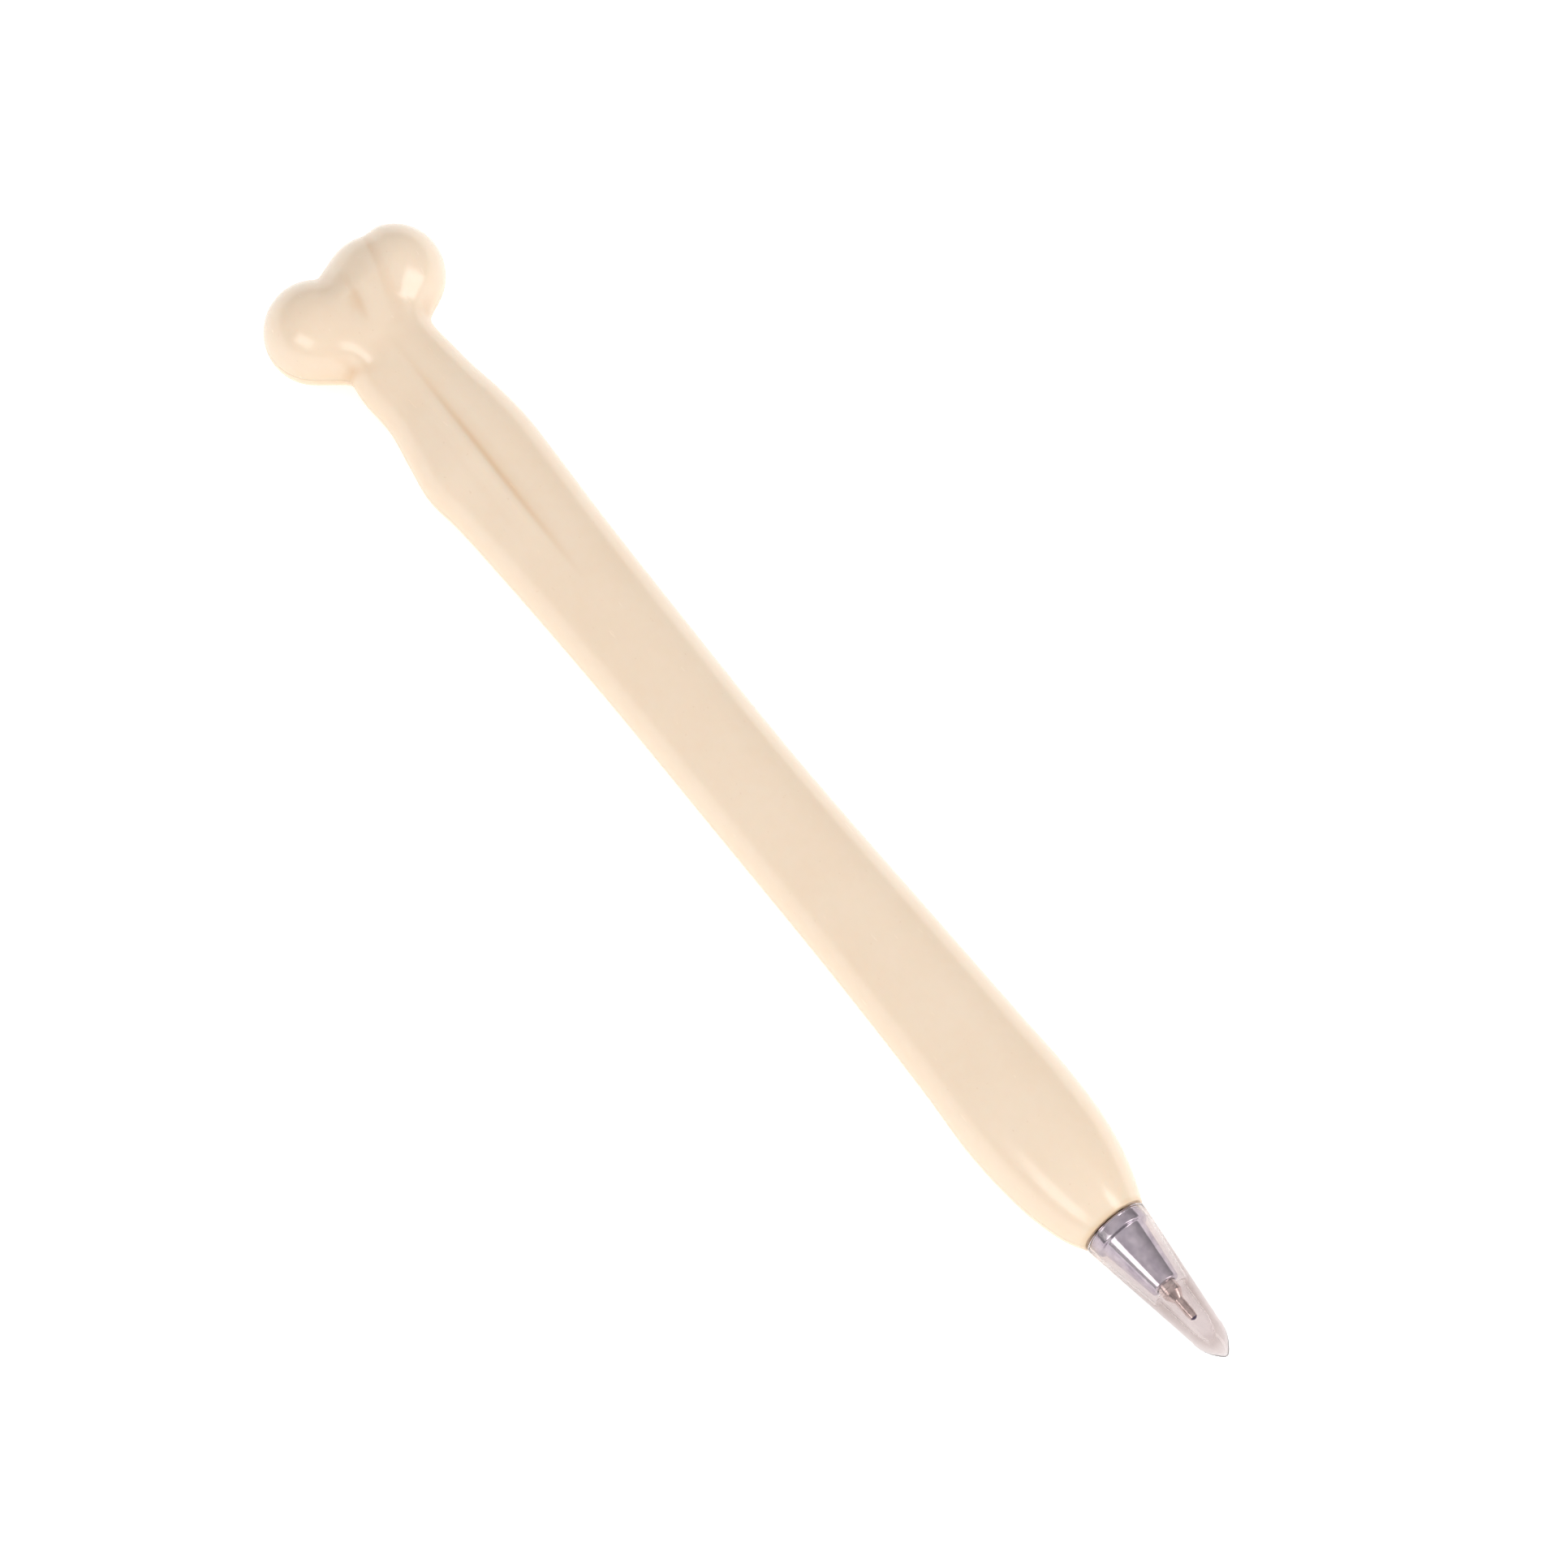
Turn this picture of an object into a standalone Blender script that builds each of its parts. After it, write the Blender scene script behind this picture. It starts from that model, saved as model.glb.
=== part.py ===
"""A bone-shaped ballpoint pen with its clear tip cap on, lying on its lower shell.

The barrel is two moulded half shells, welded along the plane of the bone's outline. They hold a
threaded bush. A chromed nose cone screws into the bush and keeps a plastic refill in place.

World axes: +X runs along the pen towards the writing tip, +Y runs across it towards the larger
knuckle, and +Z is up. Inside this script a place on the pen is (back, across, up) in millimetres:
back from the end of the cap, across from the refill's centre line, and up from the parting plane.
"""

import math

import bmesh
import bpy
import numpy as np
from mathutils import Matrix

MM = 0.001

# ---- driving dimensions, in millimetres ----
LENGTH = 150.0  # from the end of the cap to the end of the smaller knuckle
REFILL_ACROSS = -3.26  # the refill's line from the middle of the pen's width
REST_DEPTH = 5.9  # from the parting plane down to the three resting flats
PARTING_GAP = 0.08  # width of the seam between the half shells

# The shaft's outline: back, half width on the +Y side, half width on the -Y side, half height.
SHAFT = (
    (18.1, 3.74, 3.78, 3.76),
    (19.7, 4.44, 4.62, 4.45),
    (23.1, 5.62, 5.60, 5.40),
    (28.3, 6.63, 6.24, 6.00),
    (33.4, 6.97, 6.34, 6.10),
    (41.1, 6.94, 5.74, 5.90),
    (54.0, 6.89, 5.03, 5.65),
    (77.1, 6.90, 4.29, 5.45),
    (97.7, 7.65, 3.76, 5.45),
    (112.0, 8.38, 3.72, 5.55),
    (119.0, 8.88, 3.86, 5.58),
    (123.5, 9.12, 4.16, 5.60),
    (127.5, 8.90, 3.42, 5.35),
    (131.5, 8.38, 2.62, 5.05),
    (136.0, 8.00, 2.60, 4.90),
    (144.0, 6.00, 0.60, 4.40),
)
# Each knuckle is a tapered bulb from one ball to another: back, across, radius of each ball.
LARGE_KNUCKLE = ((144.5, 8.42, 5.25), (145.3, 6.3, 4.7))
SMALL_KNUCKLE = ((144.75, -1.78, 5.25), (141.95, 1.2, 5.0))
KNUCKLE_BRIDGE = ((144.3, 2.3, 4.3), (144.0, 3.4, 4.3))
KNUCKLE_FULLNESS = 0.87  # a knuckle's half width over its half height
BRIDGE_FULLNESS = 0.85
LARGE_FILLET = 4.8
SMALL_FILLET = 0.75
BRIDGE_FILLET = 2.0
CROWN_FILLET = 1.6  # how much softer the creases are on top than at the seam
CROWN_START, CROWN_END = 1.8, 4.6  # the heights between which they soften
NOTCH_FRONT, NOTCH_BACK = 143.0, 149.5  # between these they grow crisp again, towards the notch
KNOB_CENTRE = (142.6, 3.4)  # back and across of the point that the knob's surface fans out from
NECK_START = 125.0  # behind this the rings' centres move over to the knob's centre
RING_CROWDING = 0.11  # how much closer together the rings stand at the belly and at the neck
LONGEST_RAY = 16.0  # further than any point of the surface is from the bone's spine
HALVINGS = 36  # of a ray, to find where it meets the surface
SHELL_LOFT = (36, 9, 40)  # rings along the shaft, rings round the knob, sides
CAVITY_LOFT = (22, 6, 24)
FAR_FRONT, FAR_BACK, FAR_ACROSS, FAR_UP = -5.0, 160.0, 30.0, 12.0  # well outside the barrel

# The channel along the top of the neck: back and across of its two ends.
CHANNEL_ENDS = ((138.5, 3.0), (103.5, 1.4))
CHANNEL_DEPTH = 0.5
CHANNEL_WIDTHS = (0.9, 2.2)  # of its steep side, by the ridge, and of its gentle side
RIDGE_HEIGHT, RIDGE_OFFSET, RIDGE_WIDTH = 0.14, 1.2, 1.0  # the low ridge along its steep side
# The crease between the knuckles: back and across of its two ends.
CREASE_ENDS = ((147.4, 3.4), (138.8, 1.2))
CREASE_DEPTH, CREASE_WIDTHS = 0.36, (1.5, 1.0)

WALL = 1.7
CAVITY_FRONT = 28.0  # the barrel is solid in front of this, round the bush
BULKHEADS = (46.0, 78.0, 109.5)  # cross walls; the last one stops the refill
BULKHEAD_THICKNESS = 1.6
REFILL_CLEARANCE = 0.4  # round the ink tube in the cross walls
BOSSES = ((36.0, 4.35), (36.0, -3.7), (143.6, 8.3), (143.8, -1.5))  # back, across
BOSS_RADIUS = 1.5
PEG_RADIUS = 0.7
PEG_LENGTH = 1.6
PEG_ROOT = 1.0  # how far a peg starts below the parting plane
PEG_CLEARANCE = 0.12

BUSH_FRONT, BUSH_BACK = 18.5, 25.6
BUSH_RADIUS = 2.95
FLANGE_RADIUS, FLANGE_FRONT = 4.0, 24.2  # the bush's six-sided flange, across its corners
POCKET_CLEARANCE = 0.1

THREAD_PITCH = 1.0
THREAD_DEPTH = 0.35
THREAD_ROOT = 1.95  # radius at the root of the nose cone's thread
THREAD_CLEARANCE = 0.12
THREAD_FRONT, THREAD_BACK = 18.7, 24.4
THREAD_STEPS = 6  # rings along one pitch

NOSE_FRONT = 9.7
COLLAR_FRONT, COLLAR_BACK = 16.5, 17.95
COLLAR_RADIUS = 3.12
NOSE_BORE = 1.12
TUBE_SEAT = 14.2  # where the nose cone's bore widens to take the ink tube
SPIGOT_BACK = 25.4

BALL_BACK, BALL_RADIUS = 5.45, 0.4
BALL_CLEARANCE = 0.03
POINT_RADIUS = 1.04
POINT_SHOULDER = 8.5
POINT_BACK = 18.0
TUBE_RADIUS, TUBE_BORE = 1.5, 0.9
TUBE_FRONT, TUBE_BACK = 14.4, 108.2
INK_BACK = 88.0

CAP_BACK = 17.85
CAP_MOUTH_RADIUS = 3.7
CAP_SHOULDER, CAP_SHOULDER_RADIUS = 3.4, 1.85
CAP_STEP = 8.9  # where the cap's bore narrows in front of the nose cone


# ---- places and collections ----


def place(back, across, up):
    """The world point, in metres, of a place on the pen."""
    return (
        (LENGTH / 2 - back) * MM,
        (across + REFILL_ACROSS) * MM,
        (up + REST_DEPTH) * MM,
    )


def clear_scene():
    for item in list(bpy.data.objects):
        bpy.data.objects.remove(item, do_unlink=True)


def new_collection(name):
    collection = bpy.data.collections.new(name)
    bpy.context.scene.collection.children.link(collection)
    return collection


def new_object(name, mesh, collection):
    item = bpy.data.objects.new(name, mesh)
    collection.objects.link(item)
    return item


def hide_tool(item):
    """Marks an object as a cutter, which isn't part of the pen."""
    item.hide_render = True
    item.display_type = "WIRE"
    return item


def new_material(name, colour, roughness, metallic=0.0, alpha=1.0):
    material = bpy.data.materials.new(name)
    material.use_nodes = True
    shader = material.node_tree.nodes["Principled BSDF"]
    shader.inputs["Base Color"].default_value = (*colour, 1.0)
    shader.inputs["Roughness"].default_value = roughness
    shader.inputs["Metallic"].default_value = metallic
    shader.inputs["Alpha"].default_value = alpha
    return material


# ---- the bone's form ----


def smooth_curve(knots, values, at):
    """A cubic through the knots, with the slope at each knot from its two neighbours."""
    steps = np.diff(knots)
    rises = np.diff(values) / steps
    slopes = np.empty_like(values)
    slopes[0] = rises[0]
    slopes[-1] = rises[-1]
    slopes[1:-1] = (rises[:-1] * steps[1:] + rises[1:] * steps[:-1]) / (steps[:-1] + steps[1:])
    span = np.clip(np.searchsorted(knots, at) - 1, 0, len(knots) - 2)
    step = steps[span]
    u = (at - knots[span]) / step
    start = (1 + 2 * u) * (1 - u) ** 2 * values[span] + u * (1 - u) ** 2 * step * slopes[span]
    end = u * u * (3 - 2 * u) * values[span + 1] + u * u * (u - 1) * step * slopes[span + 1]
    return start + end


def shaft_section(back):
    """Centre across, half width and half height of the shaft."""
    knots, plus, minus, height = np.array(SHAFT).T
    inside = np.clip(back, knots[0], knots[-1])
    plus_side = smooth_curve(knots, plus, inside)
    minus_side = smooth_curve(knots, minus, inside)
    centre = (plus_side - minus_side) / 2
    return centre, (plus_side + minus_side) / 2, smooth_curve(knots, height, inside)


def shaft_distance(back, across, up):
    centre, width, height = shaft_section(back)
    ratio = np.hypot((across - centre) / width, up / height)
    side = (ratio - 1) * np.minimum(width, height)
    beyond = back - SHAFT[-1][0]
    return np.where(beyond > 0, np.hypot(np.maximum(side, 0), beyond), side)


def bulb_distance(bulb, fullness, back, across, up):
    (back_0, across_0, radius_0), (back_1, across_1, radius_1) = bulb
    run, rise = back_1 - back_0, across_1 - across_0
    share = ((back - back_0) * run + (across - across_0) * rise) / (run * run + rise * rise)
    share = np.clip(share, 0, 1)
    off_back = back - back_0 - share * run
    off_across = across - across_0 - share * rise
    radius = radius_0 + (radius_1 - radius_0) * share
    return np.sqrt(off_back**2 + off_across**2 + (up * fullness) ** 2) - radius


def blend(one, other, fillet):
    """The union of two forms, with a rounded crease between them."""
    near = np.maximum(fillet - np.abs(one - other), 0) / fillet
    return np.minimum(one, other) - near**3 * fillet / 6


def ease(share):
    """From 0 to 1, level at both ends."""
    inside = np.clip(share, 0, 1)
    return inside * inside * (3 - 2 * inside)


def along_line(ends, back, across):
    """Share of the way from one end to the other, and signed distance off the line."""
    (back_0, across_0), (back_1, across_1) = ends
    run, rise = back_1 - back_0, across_1 - across_0
    length = math.hypot(run, rise)
    share = ((back - back_0) * run + (across - across_0) * rise) / length**2
    off = ((back - back_0) * rise - (across - across_0) * run) / length
    return share, off


def swell(share):
    """Nothing at the two ends, and one in the middle."""
    inside = np.clip(share, 0, 1)
    return np.sin(math.pi * inside) ** 2


def valley(off, widths):
    """A rounded valley across a line, one at its foot, with a width for each side."""
    return np.exp(-((off / np.where(off < 0, widths[0], widths[1])) ** 2))


def hollows(back, across, up):
    """How deep the channel and the crease are sunk into the upper half."""
    share, off = along_line(CHANNEL_ENDS, back, across)
    along = swell(share) ** 0.6
    channel = CHANNEL_DEPTH * valley(off, CHANNEL_WIDTHS)
    ridge = RIDGE_HEIGHT * valley(off + RIDGE_OFFSET, (RIDGE_WIDTH, RIDGE_WIDTH))
    crease_share, crease_off = along_line(CREASE_ENDS, back, across)
    crease = CREASE_DEPTH * valley(crease_off, CREASE_WIDTHS) * swell(crease_share)
    return np.where(up > 0, (channel - ridge) * along + crease, 0.0)


def bone_distance(back, across, up):
    """Below zero inside the bone, and roughly the distance to its surface outside."""
    large = bulb_distance(LARGE_KNUCKLE, KNUCKLE_FULLNESS, back, across, up)
    small = bulb_distance(SMALL_KNUCKLE, KNUCKLE_FULLNESS, back, across, up)
    bridge = bulb_distance(KNUCKLE_BRIDGE, BRIDGE_FULLNESS, back, across, up)
    raised = ease((np.abs(up) - CROWN_START) / (CROWN_END - CROWN_START))
    softer = CROWN_FILLET * raised * ease((NOTCH_BACK - back) / (NOTCH_BACK - NOTCH_FRONT))
    lobe = blend(large, bridge, BRIDGE_FILLET)
    form = blend(shaft_distance(back, across, up), lobe, LARGE_FILLET + softer)
    return blend(form, small, SMALL_FILLET + softer)


def spread_along(front, rings):
    """Where the rings stand along the shaft: closer together at the belly and at the neck."""
    share = np.linspace(0, 1, rings)
    crowded = share - RING_CROWDING * np.sin(2 * math.pi * share)
    return front + (KNOB_CENTRE[0] - front) * crowded


def bone_points(front, inset, rings, cap_rings, sides, carved):
    """Rings of points on the bone's surface, or on one inset from it, ending at the knob's notch."""
    angle = (np.arange(sides) + 0.5) * 2 * math.pi / sides
    along = spread_along(front, rings)
    centre = shaft_section(along)[0]
    to_knob = np.clip((along - NECK_START) / (KNOB_CENTRE[0] - NECK_START), 0, 1)
    centre = centre * (1 - to_knob) + KNOB_CENTRE[1] * to_knob
    tilt = np.concatenate([np.zeros(rings), np.arange(1, cap_rings) * math.pi / 2 / cap_rings])
    back_0 = np.concatenate([along, np.full(cap_rings - 1, KNOB_CENTRE[0])])[:, None]
    across_0 = np.concatenate([centre, np.full(cap_rings - 1, KNOB_CENTRE[1])])[:, None]
    tilt = tilt[:, None]
    toward = (np.sin(tilt) + 0 * angle, np.cos(tilt) * np.cos(angle), np.cos(tilt) * np.sin(angle))
    inner = np.zeros(toward[0].shape)
    outer = np.full(toward[0].shape, LONGEST_RAY)
    for _ in range(HALVINGS):
        middle = (inner + outer) / 2
        spot = (back_0 + toward[0] * middle, across_0 + toward[1] * middle, toward[2] * middle)
        gap = bone_distance(*spot) + inset
        if carved:
            gap = gap + hollows(*spot)
        inner = np.where(gap < 0, middle, inner)
        outer = np.where(gap < 0, outer, middle)
    reach = (inner + outer) / 2
    return back_0 + toward[0] * reach, across_0 + toward[1] * reach, toward[2] * reach


def notch_depth(inset):
    """How far back the surface lies on the line through the knob's centre."""
    inner, outer = 0.0, LONGEST_RAY
    for _ in range(HALVINGS):
        middle = (inner + outer) / 2
        if bone_distance(KNOB_CENTRE[0] + middle, KNOB_CENTRE[1], 0.0) + inset < 0:
            inner = middle
        else:
            outer = middle
    return KNOB_CENTRE[0] + inner


def bone_form(name, collection, front, inset, rings, cap_rings, sides, carved):
    """A closed loft over the bone's sections, flat at the front and fanned together at the notch."""
    backs, acrosses, ups = bone_points(front, inset, rings, cap_rings, sides, carved)
    form = bmesh.new()
    loops = []
    for ring in zip(backs, acrosses, ups):
        loops.append([form.verts.new(place(*spot)) for spot in zip(*ring)])
    form.faces.new(loops[0])
    for near, far in zip(loops, loops[1:]):
        for side in range(sides):
            ahead = (side + 1) % sides
            form.faces.new((near[side], near[ahead], far[ahead], far[side]))
    notch = form.verts.new(place(notch_depth(inset), KNOB_CENTRE[1], 0.0))
    for side in range(sides):
        form.faces.new((loops[-1][side], loops[-1][(side + 1) % sides], notch))
    bmesh.ops.recalc_face_normals(form, faces=form.faces)
    mesh = bpy.data.meshes.new(name)
    form.to_mesh(mesh)
    form.free()
    mesh.shade_smooth()
    return new_object(name, mesh, collection)


# ---- turned, boxed and cut pieces ----


def turned(name, collection, outline, sides):
    """A piece turned about the refill's line, its origin on that line: an outline of (back, radius)."""
    profile = bmesh.new()
    points = [profile.verts.new((radius * MM, 0, -back * MM)) for back, radius in outline]
    ends = list(zip(points, points[1:]))
    if outline[0][1] > 0 or outline[-1][1] > 0:
        ends.append((points[-1], points[0]))
    for pair in ends:
        profile.edges.new(pair)
    mesh = bpy.data.meshes.new(name)
    profile.to_mesh(mesh)
    profile.free()
    item = new_object(name, mesh, collection)
    spin = item.modifiers.new("turn", "SCREW")
    spin.axis = "Z"
    spin.angle = 2 * math.pi
    spin.steps = sides
    spin.render_steps = sides
    spin.use_merge_vertices = True
    spin.merge_threshold = 0.000001
    apply_modifiers(item)
    item.data.transform(Matrix.Rotation(math.pi / 2, 4, "Y"))
    item.location = place(0, 0, 0)
    return item


def apply_modifiers(item):
    """Turns an object's modifiers into plain mesh, with its faces pointing out."""
    bpy.context.view_layer.update()
    evaluated = item.evaluated_get(bpy.context.evaluated_depsgraph_get())
    mesh = bpy.data.meshes.new_from_object(evaluated)
    item.modifiers.clear()
    item.data = mesh
    faces = bmesh.new()
    faces.from_mesh(mesh)
    bmesh.ops.recalc_face_normals(faces, faces=faces.faces)
    faces.to_mesh(mesh)
    faces.free()
    mesh.shade_smooth()
    mesh.set_sharp_from_angle(angle=math.radians(35))
    return item


def box(name, collection, low, high):
    """A box between two places on the pen."""
    shape = bmesh.new()
    bmesh.ops.create_cube(shape, size=1.0)
    for corner in shape.verts:
        picked = [high[i] if corner.co[i] > 0 else low[i] for i in range(3)]
        corner.co = place(*picked)
    bmesh.ops.recalc_face_normals(shape, faces=shape.faces)
    mesh = bpy.data.meshes.new(name)
    shape.to_mesh(mesh)
    shape.free()
    return new_object(name, mesh, collection)


def post(name, collection, back, across, radius, low, high):
    """An upright round post between two heights."""
    shape = bmesh.new()
    bmesh.ops.create_cone(
        shape,
        cap_ends=True,
        segments=16,
        radius1=radius * MM,
        radius2=radius * MM,
        depth=(high - low) * MM,
    )
    mesh = bpy.data.meshes.new(name)
    shape.to_mesh(mesh)
    shape.free()
    mesh.transform(Matrix.Translation(place(back, across, (low + high) / 2)))
    return new_object(name, mesh, collection)


def combine(item, operation, tool):
    change = item.modifiers.new(f"{operation.lower()}_{tool.name}", "BOOLEAN")
    change.operation = operation
    change.solver = "EXACT"
    change.object = hide_tool(tool)


def cut_thread(item, front, back, fade):
    """Swells a turned mesh into a right-hand screw thread, from its root out to its crest."""
    for point in item.data.vertices:
        along, across, up = -point.co.x / MM, point.co.y / MM, point.co.z / MM
        radius = math.hypot(across, up)
        if not front < along < back or radius < THREAD_ROOT - 0.1 or radius > BUSH_RADIUS - 0.1:
            continue
        turn = math.atan2(up, across) / (2 * math.pi)
        wave = 0.5 + 0.5 * math.cos(2 * math.pi * (along / THREAD_PITCH + turn))
        shrink = min(1.0, (along - front) / fade, (back - along) / fade) if fade else 1.0
        grown = (radius + THREAD_DEPTH * wave * shrink) / radius
        point.co.y = across * grown * MM
        point.co.z = up * grown * MM


def thread_rings(front, back, radius):
    """The plain outline that a thread is cut on, with a ring every part of a pitch."""
    count = round((back - front) / THREAD_PITCH * THREAD_STEPS)
    return [(front + (back - front) * i / count, radius) for i in range(count + 1)]


# ---- the barrel ----


def build_cavity(tools):
    """The hollow inside the barrel, with cross walls and peg bosses left standing in it."""
    cavity = bone_form("cavity", tools, CAVITY_FRONT, WALL, *CAVITY_LOFT, False)
    for number, back in enumerate(BULKHEADS):
        half = BULKHEAD_THICKNESS / 2
        low, high = (back - half, -FAR_ACROSS, -FAR_UP), (back + half, FAR_ACROSS, FAR_UP)
        wall = box(f"bulkhead_{number}", tools, low, high)
        combine(cavity, "DIFFERENCE", wall)
    for number, (back, across) in enumerate(BOSSES):
        boss = post(f"boss_{number}", tools, back, across, BOSS_RADIUS, -FAR_UP, FAR_UP)
        combine(cavity, "DIFFERENCE", boss)
    return apply_modifiers(cavity)


def build_refill_channel(tools):
    radius = TUBE_RADIUS + REFILL_CLEARANCE
    stop = BULKHEADS[-1] - BULKHEAD_THICKNESS / 2
    outline = ((BUSH_BACK - 0.5, 0), (BUSH_BACK - 0.5, radius), (stop, radius), (stop, 0))
    return turned("refill_channel", tools, outline, 24)


def build_bush_bore(tools):
    radius = BUSH_RADIUS + POCKET_CLEARANCE
    outline = ((17.0, 0), (17.0, radius), (BUSH_BACK, radius), (BUSH_BACK, 0))
    return turned("bush_bore", tools, outline, 32)


def build_flange_pocket(tools):
    radius = FLANGE_RADIUS + POCKET_CLEARANCE
    front, back = FLANGE_FRONT - POCKET_CLEARANCE, BUSH_BACK + POCKET_CLEARANCE
    return turned("flange_pocket", tools, ((front, 0), (front, radius), (back, radius), (back, 0)), 6)


def build_shell(name, collection, tools, material, cavity, side):
    """One half of the barrel: side is 1 for the upper half and -1 for the lower half."""
    shell = bone_form(name, collection, SHAFT[0][0], 0.0, *SHELL_LOFT, True)
    shell.data.materials.append(material)
    combine(shell, "DIFFERENCE", cavity)
    combine(shell, "DIFFERENCE", build_refill_channel(tools))
    combine(shell, "DIFFERENCE", build_bush_bore(tools))
    combine(shell, "DIFFERENCE", build_flange_pocket(tools))
    seam = side * PARTING_GAP / 2
    low, high = sorted((seam, -side * FAR_UP))
    start, end = (FAR_FRONT, -FAR_ACROSS, low), (FAR_BACK, FAR_ACROSS, high)
    other_half = box(f"{name}_far_side", tools, start, end)
    combine(shell, "DIFFERENCE", other_half)
    for number, (back, across) in enumerate(BOSSES):
        if side > 0:
            radius, top = PEG_RADIUS + PEG_CLEARANCE, PEG_LENGTH + PEG_CLEARANCE
        else:
            radius, top = PEG_RADIUS, PEG_LENGTH
        peg = post(f"{name}_peg_{number}", tools, back, across, radius, -PEG_ROOT, top)
        combine(shell, "DIFFERENCE" if side > 0 else "UNION", peg)
    if side < 0:
        start, end = (FAR_FRONT, -FAR_ACROSS, -FAR_UP), (FAR_BACK, FAR_ACROSS, -REST_DEPTH)
        flats = box("below_flats", tools, start, end)
        combine(shell, "DIFFERENCE", flats)
    return apply_modifiers(shell)


def build_bush(collection, tools, material):
    root = THREAD_ROOT + THREAD_CLEARANCE
    outline = thread_rings(BUSH_FRONT, BUSH_BACK, root)
    outline += [(BUSH_BACK, BUSH_RADIUS), (BUSH_FRONT, BUSH_RADIUS)]
    bush = turned("nose_bush", collection, outline, 28)
    cut_thread(bush, BUSH_FRONT - 1, BUSH_BACK + 1, 0)
    front, back = FLANGE_FRONT, BUSH_BACK - 0.05
    sides = ((front, 0), (front, FLANGE_RADIUS), (back, FLANGE_RADIUS), (back, 0))
    flange = turned("bush_flange", tools, sides, 6)
    bore = ((front - 1, 0), (front - 1, BUSH_RADIUS - 0.2), (back + 1, BUSH_RADIUS - 0.2), (back + 1, 0))
    combine(flange, "DIFFERENCE", turned("flange_bore", tools, bore, 28))
    combine(bush, "UNION", flange)
    bush.data.materials.append(material)
    return apply_modifiers(bush)


# ---- the nose, the refill and the cap ----


def build_nose_cone(collection, material):
    outline = [(NOSE_FRONT, NOSE_BORE), (NOSE_FRONT, 1.45), (NOSE_FRONT + 0.2, 1.6)]
    outline += [(COLLAR_FRONT - 0.15, 2.58), (COLLAR_FRONT, 2.7), (COLLAR_FRONT, COLLAR_RADIUS - 0.15)]
    outline += [(COLLAR_FRONT + 0.2, COLLAR_RADIUS), (COLLAR_BACK, COLLAR_RADIUS)]
    outline += [(COLLAR_BACK, THREAD_ROOT)]
    outline += thread_rings(THREAD_FRONT, THREAD_BACK, THREAD_ROOT)
    outline += [(SPIGOT_BACK, THREAD_ROOT), (SPIGOT_BACK, TUBE_RADIUS + 0.1)]
    outline += [(TUBE_SEAT, TUBE_RADIUS + 0.1), (TUBE_SEAT, NOSE_BORE)]
    nose = turned("nose_cone", collection, outline, 28)
    cut_thread(nose, THREAD_FRONT, THREAD_BACK, 0.5 * THREAD_PITCH)
    nose.data.materials.append(material)
    return nose


def arc(back_0, radius, start, end, steps):
    """Points round a circle centred on the refill's line; angles are measured from the tip."""
    points = []
    for i in range(steps + 1):
        angle = math.radians(start + (end - start) * i / steps)
        points.append((back_0 - radius * math.cos(angle), radius * math.sin(angle)))
    return points


def build_refill_point(collection, material):
    """The metal point: a thin nib that holds the ball, a shank, and a spigot in the ink tube."""
    socket = arc(BALL_BACK, BALL_RADIUS + BALL_CLEARANCE, 150, 62, 8)
    lip = socket[-1]
    outline = [(POINT_BACK, 0.28), (socket[0][0] + 0.5, 0.28)] + socket
    outline += [(lip[0], lip[1] + 0.05), (BALL_BACK + 0.25, 0.5), (7.7, 0.52)]
    outline += [(8.15, 0.8), (POINT_SHOULDER, POINT_RADIUS)]
    outline += [(TUBE_FRONT - 0.1, POINT_RADIUS), (TUBE_FRONT - 0.1, TUBE_BORE - 0.04)]
    outline += [(POINT_BACK - 0.3, TUBE_BORE - 0.04), (POINT_BACK, TUBE_BORE - 0.2)]
    point = turned("refill_point", collection, outline, 32)
    point.data.materials.append(material)
    return point


def build_ball(collection, material):
    shape = bmesh.new()
    bmesh.ops.create_uvsphere(shape, u_segments=20, v_segments=12, radius=BALL_RADIUS * MM)
    mesh = bpy.data.meshes.new("writing_ball")
    shape.to_mesh(mesh)
    shape.free()
    mesh.shade_smooth()
    mesh.materials.append(material)
    ball = new_object("writing_ball", mesh, collection)
    ball.location = place(BALL_BACK, 0, 0)
    ball.rotation_euler = (math.pi / 2, 0, 0)
    return ball


def build_ink_tube(collection, material):
    outline = ((TUBE_FRONT, TUBE_BORE), (TUBE_FRONT, TUBE_RADIUS), (TUBE_BACK, TUBE_RADIUS))
    tube = turned("ink_tube", collection, outline + ((TUBE_BACK, TUBE_BORE),), 24)
    tube.data.materials.append(material)
    return tube


def build_ink(collection, material):
    radius = TUBE_BORE - 0.05
    front = POINT_BACK + 0.1
    outline = ((front, 0), (front, radius), (INK_BACK, radius), (INK_BACK + 0.4, 0))
    ink = turned("ink_column", collection, outline, 16)
    ink.data.materials.append(material)
    return ink


def cap_outside(steps):
    """The cap's blunt end: it opens quickly from a small flat, then runs into the long taper."""
    points = [(0.0, 0.0)]
    for i in range(steps + 1):
        share = i / steps
        radius = 0.22 + (CAP_SHOULDER_RADIUS - 0.22) * (1 - (1 - share) ** 2)
        points.append((CAP_SHOULDER * share, radius))
    return points


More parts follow.
